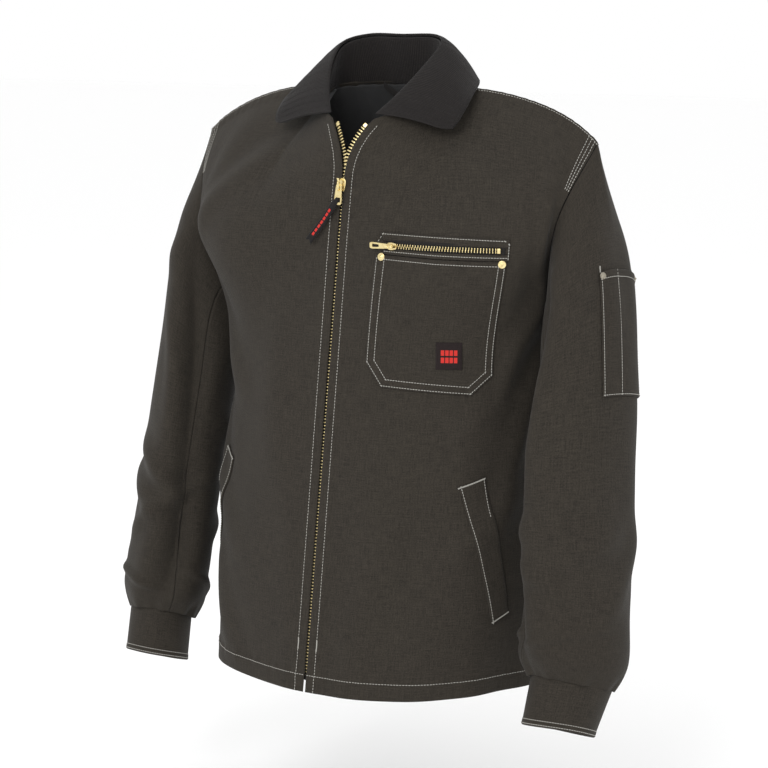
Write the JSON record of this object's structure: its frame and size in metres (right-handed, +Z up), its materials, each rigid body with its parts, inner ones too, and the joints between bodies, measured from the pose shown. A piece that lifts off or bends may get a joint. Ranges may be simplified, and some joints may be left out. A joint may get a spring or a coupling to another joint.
{
  "type": "zip-front canvas work jacket",
  "caption": "Zip-front canvas work jacket with a corduroy fold-down collar, zipped chest pocket, slanted hand pockets, sleeve pen pocket and banded cuffs.",
  "frame": {"origin": "midway between the two shoulder tips, where the jacket rests on the wearer's shoulders", "axes": "+Z up, -Y the front of the jacket, +X the wearer's left"},
  "size_m": [0.681, 0.3297, 0.7598],
  "materials": {
    "duck": "matte cotton duck canvas, firm plain weave, dark brown-olive, light grey topstitching",
    "corduroy": "fine-wale cotton corduroy, black-brown",
    "lining": "black quilted satin lining",
    "tape": "herringbone zip tape",
    "strap": "black woven tape with a plain red bar",
    "badge": "woven badge with a plain red bar pattern",
    "thread": "light grey polyester topstitching thread",
    "brass": "polished pale brass",
    "antique_brass": "antique brass, dulled"
  },
  "bodies": {
    "jacket": {"front_panel_left": "duck", "front_panel_right": "duck", "back_panel": "duck", "front_facing_left": "duck", "front_facing_right": "duck", "front_lining_left": "lining", "front_lining_right": "lining", "back_lining": "lining", "collar_stand": "corduroy", "collar_fall": "corduroy", "zip_teeth_left": "brass", "zip_teeth_right": "brass", "zip_tape_left": "tape", "zip_tape_right": "tape", "zip_top_stop_left": "brass", "zip_top_stop_right": "brass", "zip_box": "brass", "zip_pin": "brass", "chest_zip_panel_top": "duck", "chest_zip_panel_bottom": "duck", "chest_pocket": "duck", "chest_badge": "badge", "chest_zip_tape": "tape", "chest_zip_chain": "brass", "chest_zip_stop": "brass", "chest_rivet_inner": "brass", "chest_rivet_outer": "brass", "pocket_welt_left": "duck", "pocket_welt_right": "duck", "pocket_bag_left": "lining", "pocket_bag_right": "lining", "hang_loop": "tape"},
    "sleeve_left": {"upper_sleeve_left": "duck", "under_sleeve_left": "duck", "sleeve_lining_left": "lining", "cuff_left": "duck", "pen_pocket": "duck", "pen_rivet_front": "antique_brass", "pen_rivet_rear": "antique_brass"},
    "sleeve_right": {"upper_sleeve_right": "duck", "under_sleeve_right": "duck", "sleeve_lining_right": "lining", "cuff_right": "duck"},
    "zip_slider": {"zip_slider": "brass"},
    "zip_pull": {"zip_pull": "brass"},
    "puller_strap": {"puller_strap": "strap"},
    "chest_slider": {"chest_zip_slider": "brass"},
    "chest_pull": {"chest_zip_pull": "brass"}
  },
  "joints": [
    {"name": "zip_slide", "type": "slide", "parent": "jacket", "child": "zip_slider", "axis": [0, -0.1357, -0.9907], "range_m": [0, 0.53]},
    {"name": "zip_pull_hinge", "type": "hinge", "parent": "zip_slider", "child": "zip_pull", "pos_m": [0, -0.11052, -0.05115], "axis": [-1, 0, 0], "range_deg": [0, 150]},
    {"name": "strap_swing", "type": "hinge", "parent": "zip_pull", "child": "puller_strap", "pos_m": [0, -0.11478, -0.06672], "axis": [0, -0.9907, 0.1357], "range_deg": [-50, 100]},
    {"name": "chest_zip_slide", "type": "hinge", "parent": "jacket", "child": "chest_slider", "pos_m": [0.0877, 0.20307, -0.1135], "axis": [0, 0, 1], "range_deg": [0, 21.14]},
    {"name": "chest_pull_hinge", "type": "hinge", "parent": "chest_slider", "child": "chest_pull", "pos_m": [0.07538, -0.12054, -0.1135], "axis": [0, 0, 1], "range_deg": [0, 165]},
    {"name": "sleeve_left_lift", "type": "hinge", "parent": "jacket", "child": "sleeve_left", "pos_m": [0.264, 0.002, 0], "axis": [0, -1, 0], "range_deg": [0, 25]},
    {"name": "sleeve_right_lift", "type": "hinge", "parent": "jacket", "child": "sleeve_right", "pos_m": [-0.264, 0.002, 0], "axis": [0, 1, 0], "range_deg": [0, 25]}
  ]
}
